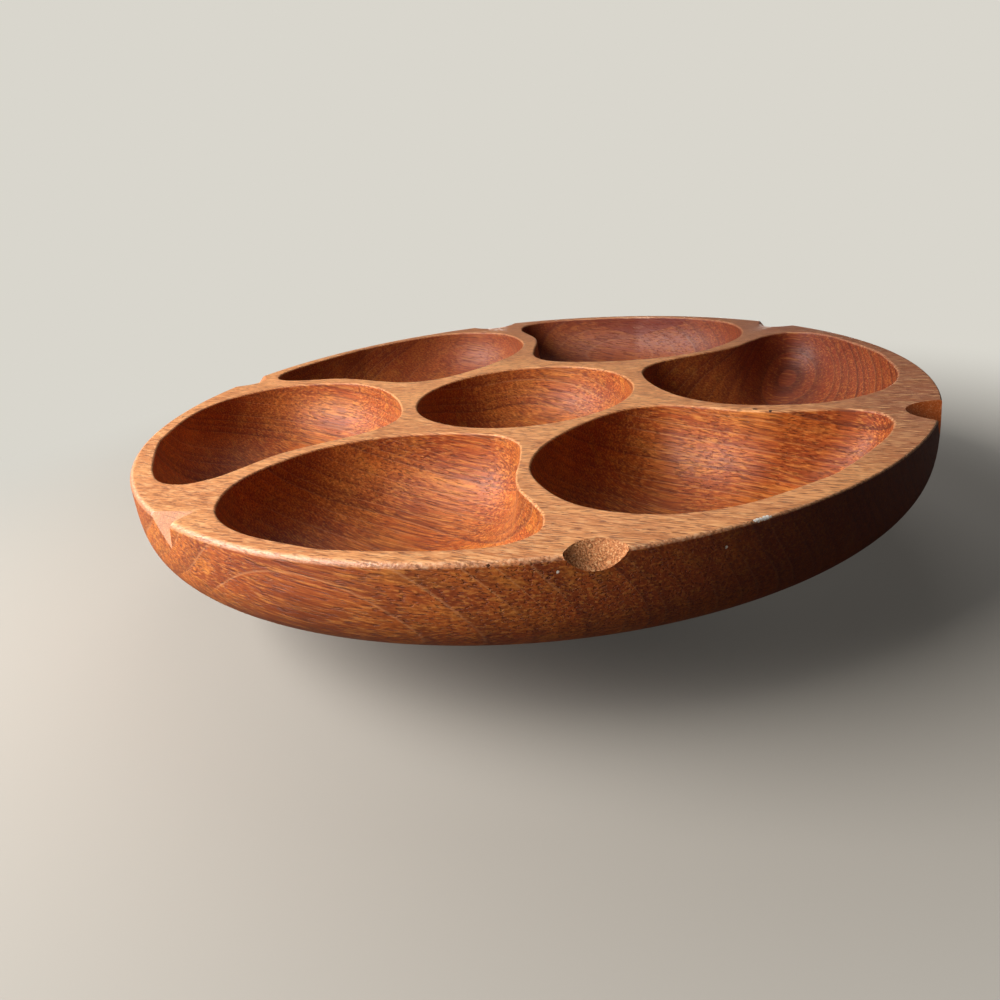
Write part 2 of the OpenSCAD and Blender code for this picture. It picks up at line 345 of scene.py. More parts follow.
# each pocket: moved along and across, turned by degrees, stretched along and across
HAND_SHARES = [(0, 0.015, -4.5, 1.005, 0.94), (0.02, -0.01, -1, 1, 1.02),
               (0.02, -0.02, 0.5, 0.98, 1.005), (-0.005, -0.005, 1.5, 1, 1.04),
               (-0.01, 0.01, 1.5, 1.02, 0.97), (-0.025, 0.012, 2, 1, 0.985)]
POCKET_DEPTH, BOWL_DEPTH, POCKET_EASE = 42 * MM, 40 * MM, 1.2 * MM
BOWL_R, BOWL_BACK = 54.5 * MM, 2.5 * MM
POCKET_RIPPLE_SHARE, BOWL_RIPPLE_SHARE = 0.0016, 0.0012
# waves round the hollow, and how far each drifts round on its way down
RIPPLES = [(5, 7), (9, -4)]
WALL_POWER = 0.87
OVERRUN = 1 * MM
CURVE_STEPS, EASE_STEPS, POCKET_STEPS = 8, 5, 24
BOWL_TURNS, BOWL_STEPS = 160, 26
print("pocket outline:", len(POCKET_SHARES), "points, pockets:", len(HAND_SHARES))


# %% Pocket lofts
def spin(points, degrees):
    """Points in the plane, turned about the origin."""
    c, s = math.cos(math.radians(degrees)), math.sin(math.radians(degrees))
    return points @ np.array([(c, s), (-s, c)])


def smooth_loop(points, steps):
    """A closed smooth curve through points."""
    b, a, c, d = points, np.roll(points, 1, 0), np.roll(points, -1, 0), np.roll(points, -2, 0)
    bend, twist = 2 * a - 5 * b + 4 * c - d, 3 * b - a - 3 * c + d
    spans = [(2 * b + (c - a) * t + bend * t ** 2 + twist * t ** 3) / 2
             for t in np.arange(steps) / steps]
    return np.stack(spans, 1).reshape(-1, 2)


def pocket_rings(outline, centre, depth, wall_steps, ripple):
    """The rings of a hollow, from just over the top face to near its deepest point."""
    step = np.roll(outline, -1, 0) - np.roll(outline, 1, 0)
    out = np.stack([step[:, 1], -step[:, 0]], 1) / np.linalg.norm(step, axis=1)[:, None]
    around = np.arctan2(*(outline - centre).T[::-1])
    rings = [(outline + POCKET_EASE * out, TOP_Z + OVERRUN)]
    for s in range(EASE_STEPS + 1):
        a = math.pi / 2 * s / EASE_STEPS
        rings.append((outline + POCKET_EASE * (1 - math.sin(a)) * out,
                      TOP_Z - POCKET_EASE * (1 - math.cos(a))))
    for s in range(1, wall_steps):
        a = math.pi / 2 * s / wall_steps
        waves = sum(np.sin(count * around + drift * a) for count, drift in RIPPLES)
        wave = ripple * math.sin(2 * a) * waves
        shrink = math.cos(a) ** WALL_POWER
        fall = POCKET_EASE + (depth - POCKET_EASE) * math.sin(a) ** WALL_POWER
        rings.append((centre + (shrink + wave[:, None]) * (outline - centre), TOP_Z - fall))
    return rings


def closed_loft(name, rings, deepest):
    """A solid from rings at falling heights, capped at the top, with one deepest point."""
    n = len(rings[0][0])
    points = [(x, y, z) for ring, z in rings for x, y in ring] + [deepest]
    last = len(rings) - 1
    faces = [tuple(range(n))]
    for r in range(last):
        faces += [(r * n + i, (r + 1) * n + i, (r + 1) * n + (i + 1) % n, r * n + (i + 1) % n)
                  for i in range(n)]
    faces += [(last * n + i, len(points) - 1, last * n + (i + 1) % n) for i in range(n)]
    return new_piece(name, points, faces)


cutters = []
POCKET_TURN = 360 / len(HAND_SHARES)
for k, (along, across, angle, wide_along, wide_across) in enumerate(HAND_SHARES):
    shape = (smooth_loop(POCKET_SHARES, CURVE_STEPS) - MIDDLE_SHARES) * (wide_along, wide_across)
    shape = spin(shape, angle) + MIDDLE_SHARES + (along, across)
    centre = (DEEPEST_SHARES + (along, across)) * RIM_R
    outline = spin(shape * RIM_R, POCKET_TURN * k)
    centre = spin(centre[None], POCKET_TURN * k)[0]
    rings = pocket_rings(outline, centre, POCKET_DEPTH, POCKET_STEPS, POCKET_RIPPLE_SHARE)
    cutters.append(closed_loft("pocket_%d" % k, rings, (*centre, TOP_Z - POCKET_DEPTH)))
angles = np.linspace(0, 2 * math.pi, BOWL_TURNS, endpoint=False)
bowl_centre = np.array((0, BOWL_BACK))
bowl_outline = bowl_centre + BOWL_R * np.stack([np.cos(angles), np.sin(angles)], 1)
bowl_rings = pocket_rings(bowl_outline, bowl_centre, BOWL_DEPTH, BOWL_STEPS, BOWL_RIPPLE_SHARE)
cutters.append(closed_loft("centre_bowl", bowl_rings, (*bowl_centre, TOP_Z - BOWL_DEPTH)))
print("pockets and bowl:", len(cutters), "lofts of", len(cutters[0].data.vertices), "points")

# %% [markdown]
# The thumb notches were cut with a gouge, pushed outwards and down through the
# rim. Each cutter is a round bar with a blunt end, turned to the notch's angle.
# The three at the back are wide and shallow, and the one on the right is deep and
# leaves a sharp beak. The left one was cut with the corner of a chisel instead, so
# its bar is square and twisted, which leaves one broad facet and one steep one.

# %% Thumb notches
GOUGE_R, NOTCH_REACH, NOTCH_DROP = 12 * MM, 11 * MM, 7.5 * MM
ROUND, SQUARE = 72, 4
# angle, shares of reach, drop and gouge radius, then the tool's sides and its twist in degrees
NOTCHES = [(-141, 1.15, 1.7, 1, SQUARE, 20), (-87, 0.95, 0.9, 1.15, ROUND, 0),
           (-29, 1.25, 1.35, 1.45, ROUND, 0), (32, 1, 0.8, 1.6, ROUND, 0),
           (92.5, 1, 0.8, 2, ROUND, 0), (148.5, 1, 0.8, 1.6, ROUND, 0)]
for angle, reach_share, drop_share, radius_share, sides, twist in NOTCHES:
    reach, drop = NOTCH_REACH * reach_share, NOTCH_DROP * drop_share
    radius = GOUGE_R * radius_share
    slope = math.atan2(drop, reach)
    length = 2 * radius + 2 * reach
    bar = turned("gouge", [(0, 0), (radius, 0), (radius, length), (0, length)], sides)
    heading = Matrix.Rotation(math.radians(angle), 4, "Z")
    at_rim = Matrix.Translation((RIM_R - reach, 0, TOP_Z))
    downhill = Matrix.Rotation(math.pi / 2 + slope, 4, "Y")
    resting = Matrix.Translation((-radius, 0, -radius))
    rolled = Matrix.Rotation(math.radians(twist), 4, "Z")
    bar.data.transform(heading @ at_rim @ downhill @ resting @ rolled)
    bar.data.polygons.foreach_set("material_index", [1] * len(bar.data.polygons))
    cutters.append(bar)
print("notches:", len(NOTCHES))

# %% [markdown]
# All the cutters are joined into one object and taken from the block in one
# Boolean step, so the block is worked through once and not thirteen times.
# Afterwards edges that turn sharply, such as the notches' rims, are marked sharp,
# and weighted normals keep the flat top face flat beside its eased edges.

# %% Carve the block
def joined(name, pieces):
    """One object with the meshes of several."""
    mesh = bmesh.new()
    for piece in pieces:
        mesh.from_mesh(piece.data)
        bpy.data.objects.remove(piece)
    data = bpy.data.meshes.new(name)
    bmesh.ops.recalc_face_normals(mesh, faces=mesh.faces)
    mesh.to_mesh(data)
    mesh.free()
    whole = bpy.data.objects.new(name, data)
    bpy.context.scene.collection.objects.link(whole)
    return whole


def face_outwards(piece):
    """Turns every face of a closed mesh to face out."""
    mesh = bmesh.new()
    mesh.from_mesh(piece.data)
    bmesh.ops.recalc_face_normals(mesh, faces=mesh.faces)
    mesh.to_mesh(piece.data)
    mesh.free()


def carve(piece, cutter):
    """Takes the cutter out of the piece and deletes the cutter."""
    cut = piece.modifiers.new("carve", "BOOLEAN")
    cut.operation, cut.solver, cut.object = "DIFFERENCE", "MANIFOLD", cutter
    cut.material_mode = "INDEX"
    carved = piece.evaluated_get(bpy.context.evaluated_depsgraph_get())
    result = bpy.data.meshes.new_from_object(carved)
    piece.modifiers.clear()
    piece.data = result
    bpy.data.objects.remove(cutter)


def crisp(piece, degrees):
    """Smooth shading with sharp edges where faces meet at more than an angle."""
    mesh = bmesh.new()
    mesh.from_mesh(piece.data)
    limit = math.radians(degrees)
    for edge in mesh.edges:
        edge.smooth = len(edge.link_faces) != 2 or edge.calc_face_angle(0) < limit
    for face in mesh.faces:
        face.smooth = True
    mesh.to_mesh(piece.data)
    mesh.free()
    weighted = piece.modifiers.new("weighted_normals", "WEIGHTED_NORMAL")
    weighted.keep_sharp = True


TRAY_SHARP_DEGREES = 32
face_outwards(tray)
before = len(tray.data.polygons)
gouges = joined("gouges", cutters)
for solid in (tray, gouges):
    for finish in ("walls", "notches"):
        known = bpy.data.materials.get(finish)
        solid.data.materials.append(known or bpy.data.materials.new(finish))
carve(tray, gouges)
crisp(tray, TRAY_SHARP_DEGREES)
print("carved tray:", before, "faces before,", len(tray.data.polygons), "after")

# %% [markdown]
# ## The wood
# The tray is an oiled tropical hardwood of the mahogany kind. Sawn from a log,
# it shows several scales of grain: growth rings a few millimetres apart, which
# are cylinders around the log's heart; fine fibre streaks along the log; open
# pores, short brown dashes where the surface runs along the grain and dots where
# it cuts across; and a faint ripple across the grain. A flat pattern wrapped round
# the tray would smear down the walls. So all of them are drawn in the log's own
# coordinates, and they turn correctly over every wall, as in solid wood.

# %% Log coordinates
def log_frame(tree, heading, rise, heart):
    """Place in the log, in mm: along the grain, and across it from the heart, two ways."""
    h, r = math.radians(heading), math.radians(rise)
    along = Vector((math.cos(h) * math.cos(r), math.sin(h) * math.cos(r), math.sin(r)))
    up = (Vector((0, 0, 1)) - along.z * along).normalized()
    across = up.cross(along)
    place = add(tree, "TexCoord", out="Object")
    g, s, t = [add(tree, "VectorMath", place, axis / MM, out="Value", operation="DOT_PRODUCT")
               for axis in (along, across, up)]
    s = add(tree, "Math", s, heart[0], operation="SUBTRACT")
    t = add(tree, "Math", t, heart[1], operation="SUBTRACT")
    return place, g, s, t


# heading and rise of the log in degrees, then in mm its heart and the width of a ring
TRAY_GRAIN = (-27, -8, (40, 190), 5.0)
print("the tray's log: heading, rise, heart and ring:", TRAY_GRAIN)


def grain_noise(tree, log, long_mm, wide_mm, out="Fac", **inputs):
    """Noise with grains of one size along the log and another across it, in mm."""
    sizes = (long_mm, wide_mm, wide_mm)
    parts = [add(tree, "Math", value, size, operation="DIVIDE") for value, size in zip(log, sizes)]
    place = add(tree, "CombineXYZ", *parts)
    return add(tree, "TexNoise", {"Vector": place, "Scale": 1.0, **inputs}, out=out)


# %% [markdown]
# Blender's wave texture makes rings too, but they are all alike and rise and fall
# evenly. Real ones don't, so the rings are counted out from the heart. A tree
# isn't a perfect cylinder, so each point is first pushed sideways by a slow noise,
# and the rings bend with it. Some years were good and some poor, so the rings are
# unevenly wide. Within a ring the wood darkens slowly to the late wood and ends in
# a thin pale line, which fades in and out along the log.

# %% Growth rings
BEND_MM, BEND_SIZE = 22.0, (190, 75)
UNEVEN_MM, UNEVEN_RINGS = 20.0, 3.0
FADE_SIZE = (60, 30)


def growth_rings(tree, log, ring_mm):
    """The dark late wood, the pale line that ends it and each ring's tone, from 0 to 1."""
    bend = grain_noise(tree, log, *BEND_SIZE, "Color", Detail=2.0, Roughness=0.25)
    bend = add(tree, "SeparateColor", bend).node.outputs
    s = add(tree, "Math", bend["Red"], BEND_MM, log[1], operation="MULTIPLY_ADD")
    t = add(tree, "Math", bend["Green"], BEND_MM, log[2], operation="MULTIPLY_ADD")
    from_heart = add(tree, "CombineXYZ", s, t)
    from_heart = add(tree, "VectorMath", from_heart, out="Value", operation="LENGTH")
    slow = add(tree, "Math", from_heart, 1 / UNEVEN_MM, operation="MULTIPLY")
    uneven = add(tree, "TexNoise", {"W": slow, "Scale": 1.0}, noise_dimensions="1D")
    count = add(tree, "Math", from_heart, ring_mm, operation="DIVIDE")
    count = add(tree, "Math", uneven, UNEVEN_RINGS, count, operation="MULTIPLY_ADD")
    within = add(tree, "Math", count, operation="FRACT")
    number = add(tree, "Math", count, operation="FLOOR")
    tone = add(tree, "TexWhiteNoise", {"W": number}, out="Value", noise_dimensions="1D")
    dark = add(tree, "MapRange", within, 0.30, 0.92, interpolation_type="SMOOTHSTEP")
    fall = add(tree, "MapRange", within, 0.99, 0.95, interpolation_type="SMOOTHSTEP")
    dark = add(tree, "Math", dark, fall, operation="MULTIPLY")
    share = add(tree, "MapRange", tone, 0.0, 1.0, 0.3, 1.0)
    rise = add(tree, "MapRange", within, 0.88, 0.955, interpolation_type="SMOOTHSTEP")
    line = add(tree, "MapRange", within, 1.0, 0.96, interpolation_type="SMOOTHSTEP")
    line = add(tree, "Math", rise, line, operation="MULTIPLY")
    faded = grain_noise(tree, log, *FADE_SIZE, Detail=2.0)
    faded = add(tree, "MapRange", faded, 0.36, 0.54, interpolation_type="SMOOTHSTEP")
    return {"ring": add(tree, "Math", dark, share, operation="MULTIPLY"), "tone": tone,
            "line": add(tree, "Math", line, faded, operation="MULTIPLY")}


print("rings are bent over", BEND_SIZE, "mm and unevenly wide over", UNEVEN_MM, "mm")


# %% [markdown]
# The finer marks are noise, stretched along the log and cut to a soft threshold.
# Pores in such wood are 0.2 mm wide, which is too fine for the picture, so they
# are drawn 0.65 mm wide and 9 mm long, as the eye groups them. The heartwood is
# darker, and it comes in slowly from one side of the block. It is partly painted
# shade as well: it darkens the back right of the tray, away from the window.

# %% All marks of the grain
HEARTWOOD_AND_SHADE_FROM, HEARTWOOD_AND_SHADE_FULL = -20.0, 130.0
FIBRE_GRAIN = (36, 0.85)
# name, long and wide in mm, detail, noise where it begins, noise where it is full
FINE_MARKS = [("pore", 9, 0.65, 1.0, 0.57, 0.67), ("ripple", 4.5, 16, 1.0, 0.42, 0.66),
              ("figure", 70, 20, 2.0, 0.36, 0.64), ("gold", 60, 5, 2.0, 0.50, 0.70),
              ("curl", 2.2, 1.3, 2.0, 0.50, 0.62)]


def grain_marks(tree, heading, rise, heart, ring_mm):
    """Each mark that the grain makes on a surface, as a value from 0 to 1."""
    place, *log = log_frame(tree, heading, rise, heart)
    marks = {"place": place, **growth_rings(tree, log, ring_mm)}
    # heartwood, which is also painted shade: it darkens the back right, away from the window
    marks["heartwood_and_shade"] = add(tree, "MapRange", log[1], HEARTWOOD_AND_SHADE_FROM, HEARTWOOD_AND_SHADE_FULL,
                             interpolation_type="SMOOTHSTEP")
    marks["fibre"] = grain_noise(tree, log, *FIBRE_GRAIN, Detail=3.0, Roughness=0.60)
    for name, long_mm, wide_mm, detail, low, high in FINE_MARKS:
        noise = grain_noise(tree, log, long_mm, wide_mm, Detail=detail)
        marks[name] = add(tree, "MapRange", noise, low, high, interpolation_type="SMOOTHSTEP")
    for name, low, high in (("pale", 0.50, 0.66), ("deep", 0.50, 0.36)):
        marks[name] = add(tree, "MapRange", marks["fibre"], low, high,
                          interpolation_type="SMOOTHSTEP")
    return marks


print("fine marks:", [mark[0] for mark in FINE_MARKS])


# %% [markdown]
# Colour is laid over colour, as a stain would be: a base first, then each mark of
# the grain with its own tint and strength. One table per surface holds them, so
# the oiled walls, the rubbed top face and the raw gouged notches share one grain
# but not one colour. Some marks are painted shade: the right and back of the tray,
# away from the window, are painted a deeper, darker red, where the light falls off.

# %% Colours laid over each other
def layered(tree, marks, base, layers):
    """A base colour with a tint over it for each mark, by its strength."""
    colour = linear(base)
    for mark, strength, tint in layers:
        share = add(tree, "Math", marks[mark], strength, operation="MULTIPLY")
        colour = add(tree, "Mix", share, {COLOUR_A: colour, COLOUR_B: linear(tint)}, **AS_COLOUR)
    return colour


# the base colour, then each mark that lies over it, with its strength and its tint
# on the walls and the top, the marks of the right side and its rings are painted shade, and heartwood is
# partly painted shade
OILED_WALL = ("#cc6e26", [
    ("figure", 1.0, "#b9571d"), ("gold", 0.50, "#e2913a"), ("tone", 0.45, "#984619"),
    ("far_side_shade", 0.75, "#8a3418"), ("ring", 0.70, "#62200a"), ("ripple", 0.30, "#8c3a10"),
    ("pale", 0.50, "#ec9c4a"), ("deep", 0.52, "#6a2708"), ("curl", 0.15, "#5a1e08"),
    ("line", 0.45, "#dc9560"), ("pore", 0.48, "#4a1806"), ("heartwood_and_shade", 0.65, "#6b2412"),
    ("far_ring_and_shade", 0.55, "#3c0e05"), ("right_side_shade", 0.7, "#6a1606")])
# the top face: pale from wear, and partly painted light, lighter than the walls
TOP_WEAR_AND_LIGHT = ("#eba468", [
    ("figure", 1.0, "#d98f59"), ("gold", 0.35, "#f4b272"), ("tone", 0.30, "#d28751"),
    ("far_side_shade", 0.70, "#8c5448"), ("ring", 0.40, "#a9653a"), ("pale", 0.55, "#fdc88e"),
    ("deep", 0.65, "#a86233"), ("pore", 0.65, "#743a1c"), ("heartwood_and_shade", 0.6, "#8c5038")])
# the notches: their right-side mark is painted shade
GOUGED_END = ("#c88350", [
    ("figure", 0.6, "#bb7246"), ("ripple", 0.4, "#a0603a"), ("pore", 0.4, "#6f3d1c"),
    ("right_side_shade", 0.8, "#ac4a0e"), ("tuft", 0.55, "#f0c48e"), ("hollow", 0.65, "#6b3c18")])
print("layers on the walls:", len(OILED_WALL[1]), "on the top:", len(TOP_WEAR_AND_LIGHT[1]))

# %% [markdown]
# The oiled walls are a saturated orange-brown. The top face is dry and rubbed
# pale by years of hands and cloths, so colour and roughness change over where
# the height reaches it. Part of its paleness is painted light: a top face lit more
# than the walls. The change has a ragged edge of half a millimetre, because oil
# creeps along the pores. The outer wall is what lies outside a radius or leans
# over, and its right side is painted the deepest red as painted shade.

# %% Tray material: walls and top face
oiled, tree = new_material("oiled_mahogany")
marks = grain_marks(tree, *TRAY_GRAIN)
spot = add(tree, "SeparateXYZ", marks["place"]).node.outputs
facing = add(tree, "SeparateXYZ", add(tree, "NewGeometry", out="Normal")).node.outputs
radius = add(tree, "CombineXYZ", spot["X"], spot["Y"])
radius = add(tree, "VectorMath", radius, out="Value", operation="LENGTH")
OUTSIDE_R, LEANS_OVER = 185 * MM, -0.03
outside = add(tree, "Math", radius, OUTSIDE_R, operation="GREATER_THAN")
leaning = add(tree, "Math", facing["Z"], LEANS_OVER, operation="LESS_THAN")
outside = add(tree, "Math", outside, leaning, operation="MAXIMUM")
SIDE_SHADE_FROM, SIDE_SHADE_FULL, FAR_SHADE_FROM, FAR_SHADE_FULL = -20 * MM, 110 * MM, 95 * MM, 165 * MM
# painted shade: the outer wall is painted darker red towards the right, away from the window
right_side_shade = add(tree, "MapRange", spot["X"], SIDE_SHADE_FROM, SIDE_SHADE_FULL,
                interpolation_type="SMOOTHSTEP")
marks["right_side_shade"] = add(tree, "Math", right_side_shade, outside, operation="MULTIPLY")
# painted shade: the walls and top are painted darker towards the far right, and the rings darker still
# there
marks["far_side_shade"] = add(tree, "MapRange", spot["X"], FAR_SHADE_FROM, FAR_SHADE_FULL,
                        interpolation_type="SMOOTHSTEP")
marks["far_ring_and_shade"] = add(tree, "Math", marks["far_side_shade"], marks["ring"], operation="MULTIPLY")

# 0.9 ragged specks to the millimetre
RAGGED_SCALE = 0.9 / MM
EDGE_DEEP, EDGE_SHALLOW, EDGE_RAGGED = 0.75 * MM, 0.05 * MM, 0.5 * MM
ragged = add(tree, "TexNoise", {"Vector": marks["place"], "Scale": RAGGED_SCALE, "Detail": 2.0})
lifted = add(tree, "Math", ragged, EDGE_RAGGED, spot["Z"], operation="MULTIPLY_ADD")
top_face = add(tree, "MapRange", lifted, TOP_Z - EDGE_DEEP, TOP_Z - EDGE_SHALLOW,
               interpolation_type="SMOOTHSTEP")
wall_colour, top_wear_and_light_colour = layered(tree, marks, *OILED_WALL), layered(tree, marks, *TOP_WEAR_AND_LIGHT)
surface = add(tree, "Mix", top_face, {COLOUR_A: wall_colour, COLOUR_B: top_wear_and_light_colour}, **AS_COLOUR)
print("top face begins", round(EDGE_DEEP / MM, 2), "mm under the rim's height")

# %% [markdown]
# Wear comes next. The rim's outer arris takes every knock: the fibres crumble
# into pale and dark specks, and between them it is polished by hands. A pale pink
# tint over the whole arris is partly this wear and partly a painted highlight. The
# shader knows the arris by the tilt of its surface, so no mask is painted. A few
# larger chips and nicks are where the real tray has them.

# %% Tray material: worn arris and nicks
RIM_BAND = 4 * MM
outer = add(tree, "Math", radius, RIM_R - RIM_BAND, operation="GREATER_THAN")
tilted = add(tree, "MapRange", facing["Z"], 0.99, 0.90, interpolation_type="SMOOTHSTEP")
upright = add(tree, "MapRange", facing["Z"], 0.05, 0.35, interpolation_type="SMOOTHSTEP")
rounded = add(tree, "Math", tilted, upright, operation="MULTIPLY")
arris = add(tree, "Math", outer, rounded, operation="MULTIPLY")
# hands always take the left side, so the arris is polished there and crumbled elsewhere
HELD_FROM, HELD_TO = -30 * MM, -130 * MM
crumbled = add(tree, "MapRange", spot["X"], HELD_FROM, HELD_TO, 1.0, 0.1,
               interpolation_type="SMOOTHSTEP")
crumbled = add(tree, "Math", crumbled, arris, operation="MULTIPLY")
# partly wear and partly a painted highlight: the arris is tinted pale pink all round
pale_arris_wear_and_highlight = add(tree, "Math", arris, 0.35, operation="MULTIPLY")
surface = add(tree, "Mix", pale_arris_wear_and_highlight, {COLOUR_A: surface, COLOUR_B: linear("#f0b68c")}, **AS_COLOUR)
for low, high, strength, tint in ((0.52, 0.62, 0.45, "#eec29a"), (0.44, 0.36, 0.45, "#5c3018")):
    speck = add(tree, "MapRange", ragged, low, high, 0.0, strength,
                interpolation_type="SMOOTHSTEP")
    speck = add(tree, "Math", speck, crumbled, operation="MULTIPLY")
    surface = add(tree, "Mix", speck, {COLOUR_A: surface, COLOUR_B: linear(tint)}, **AS_COLOUR)

# where and how wide in mm, and the colour that shows in the broken fibres: the first
# six are one long white chip, then come two white dots, and three dark nicks
NICKS = [((62.7, -178.9, 81.6), 0.7, "#fbf7f0"), ((63.8, -178.5, 81.6), 1.1, "#fbf7f0"),
         ((65.0, -178.1, 81.6), 0.9, "#fbf7f0"), ((66.2, -177.6, 81.6), 1.2, "#fbf7f0"),
         ((67.4, -177.2, 81.6), 1.0, "#fbf7f0"), ((68.4, -176.9, 81.6), 0.7, "#fbf7f0"),
         ((52.4, -182.6, 75.2), 0.8, "#fbf0e4"), ((-2.5, -190.0, 76.6), 0.7, "#fbf0e4"),
         ((-23.9, -188.4, 80.8), 0.8, "#4a2412"), ((97.5, -64.0, 81.6), 1.5, "#40200e"),
         ((103.0, -68.5, 81.6), 1.1, "#40200e")]
for centre_mm, wide_mm, tint in NICKS:
    wide = wide_mm * MM
    away = add(tree, "VectorMath", marks["place"], Vector(centre_mm) * MM, out="Value",
               operation="DISTANCE")
    away = add(tree, "Math", ragged, wide, away, operation="MULTIPLY_ADD")
    nick = add(tree, "MapRange", away, 1.3 * wide, 1.1 * wide, interpolation_type="SMOOTHSTEP")
    surface = add(tree, "Mix", nick, {COLOUR_A: surface, COLOUR_B: linear(tint)}, **AS_COLOUR)
print("chips, dots and nicks:", len(NICKS))

# %% [markdown]
# The finish is a thin oil rubbed in by hand. It shines softly on the walls, less
# on the dry top and most on the polished arris, and the light picks out raised
# fibres and open pores. A weak clear coat stands for the film of oil. A slow
# unevenness of under a millimetre is what the gouge and the sanding left.

# %% Tray material: gloss and relief
PORE_DEPTH, WAVE_DEPTH = 0.18 * MM, 0.8 * MM
# a wave every 26 mm
WAVE_SCALE = 0.038 / MM
wall_rough = add(tree, "MapRange", marks["fibre"], 0.0, 1.0, 0.40, 0.70)
top_rough = add(tree, "MapRange", marks["fibre"], 0.0, 1.0, 0.42, 0.72)
rough = add(tree, "Mix", top_face, {VALUE_A: wall_rough, VALUE_B: top_rough}, data_type="FLOAT")
polish = add(tree, "Math", arris, 0.8, operation="MULTIPLY")
rough = add(tree, "Mix", polish, {VALUE_A: rough, VALUE_B: 0.30}, data_type="FLOAT")
crumble = add(tree, "MapRange", crumbled, 0.0, 1.0, 0.25, 1.3)
relief = add(tree, "Math", marks["fibre"], marks["pore"], operation="SUBTRACT")
relief = add(tree, "Math", ragged, crumble, relief, operation="MULTIPLY_ADD")
bumped = add(tree, "Bump", {"Height": relief, "Strength": 1.0, "Distance": PORE_DEPTH})
slow = add(tree, "TexNoise", {"Vector": marks["place"], "Scale": WAVE_SCALE, "Detail": 1.0})
bumped = add(tree, "Bump", {"Height": slow, "Strength": 1.0, "Distance": WAVE_DEPTH,
                            "Normal": bumped})
shader = add(tree, "BsdfPrincipled", {"Base Color": surface, "Roughness": rough, "Normal": bumped,
                                      "IOR": 1.47, "Coat Weight": 0.12, "Coat Roughness": 0.45})
add(tree, "OutputMaterial", {"Surface": shader})
print("tray material nodes:", len(tree.nodes))

# %% [markdown]
# The gouge left the notches raw: it cut across the fibres, tore them a little and
# the oil soaked in unevenly. So the notch faces have a second material, paler,
# dull and finely furred. On the left, where hands hold the tray, they are worn
# smooth and shine. On the right their fur fades, and they are painted red-brown
# as painted shade away from the window.

# %% Gouged notch material
# 1.5 tufts to the millimetre
FUZZ_SCALE, FUZZ_DEPTH = 1.5 / MM, 0.6 * MM
NOTCH_RIGHT_FROM, NOTCH_RIGHT_FULL = 60 * MM, 160 * MM
furred, tree = new_material("gouged_raw_wood")
marks = grain_marks(tree, *TRAY_GRAIN)
spot = add(tree, "SeparateXYZ", marks["place"]).node.outputs
raw = add(tree, "MapRange", spot["X"], HELD_TO, HELD_FROM, 0.3, 1.0,
          interpolation_type="SMOOTHSTEP")
flattened = add(tree, "MapRange", spot["X"], NOTCH_RIGHT_FROM, NOTCH_RIGHT_FULL, 1.0, 0.35,
                interpolation_type="SMOOTHSTEP")
raw = add(tree, "Math", raw, flattened, operation="MULTIPLY")
fuzz = add(tree, "TexNoise", {"Vector": marks["place"], "Scale": FUZZ_SCALE, "Detail": 3.0})
# painted shade: the notches on the right are painted darker red-brown
marks["right_side_shade"] = add(tree, "MapRange", spot["X"], NOTCH_RIGHT_FROM, NOTCH_RIGHT_FULL,
                         interpolation_type="SMOOTHSTEP")
for mark, low, high in (("tuft", 0.52, 0.66), ("hollow", 0.47, 0.36)):
    marks[mark] = add(tree, "MapRange", fuzz, low, high, interpolation_type="SMOOTHSTEP")
    marks[mark] = add(tree, "Math", marks[mark], raw, operation="MULTIPLY")
surface = layered(tree, marks, *GOUGED_END)
relief = add(tree, "Math", fuzz, raw, operation="MULTIPLY")
bumped = add(tree, "Bump", {"Height": relief, "Strength": 1.0, "Distance": FUZZ_DEPTH})
rough = add(tree, "MapRange", raw, 0.0, 1.0, 0.35, 0.85)
shader = add(tree, "BsdfPrincipled", {"Base Color": surface, "Roughness": rough, "Normal": bumped,
                                      "IOR": 1.45})
add(tree, "OutputMaterial", {"Surface": shader})

tray.data.materials[0] = oiled
tray.data.materials[1] = furred
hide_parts("tray")
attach(tray, "turntable")
print("faces in the notches:", sum(face.material_index for face in tray.data.polygons))

# %% [markdown]
# ## Under the tray
# The base is turned from the same kind of wood, darker because no light has
# bleached it. A lathe leaves fine rings, so its bump follows the distance from
# the spin axis. Its CAD shape is right, so it only gets a material.

# %% Base material
LATHE_STEP, LATHE_DEPTH = 0.8 * MM, 0.15 * MM
turned_wood, tree = new_material("oiled_mahogany_turned")
BASE_GRAIN = (12, 2, (-30, 95), 5.0)
marks = grain_marks(tree, *BASE_GRAIN)
spot = add(tree, "SeparateXYZ", marks["place"]).node.outputs
flat_place = add(tree, "CombineXYZ", spot["X"], spot["Y"])
radius = add(tree, "VectorMath", flat_place, out="Value", operation="LENGTH")
lathe = add(tree, "Math", radius, 2 * math.pi / LATHE_STEP, operation="MULTIPLY")
lathe = add(tree, "Math", lathe, operation="SINE")
UNFADED_WOOD = ("#9c5229", [
    ("figure", 1.0, "#86401d"), ("ring", 0.7, "#4f1c0b"), ("pale", 0.4, "#b8703f"),
    ("deep", 0.5, "#56220d"), ("pore", 0.7, "#38150b")])
surface = layered(tree, marks, *UNFADED_WOOD)
lathe = add(tree, "Math", lathe, 0.12, operation="MULTIPLY")
relief = add(tree, "Math", lathe, marks["pore"], operation="SUBTRACT")
bumped = add(tree, "Bump", {"Height": relief, "Strength": 1.0, "Distance": LATHE_DEPTH})
rough = add(tree, "MapRange", marks["fibre"], 0.0, 1.0, 0.38, 0.63)
shader = add(tree, "BsdfPrincipled", {"Base Color": surface, "Roughness": rough, "Normal": bumped,
                                      "IOR": 1.47, "Coat Weight": 0.15, "Coat Roughness": 0.3})
add(tree, "OutputMaterial", {"Surface": shader})
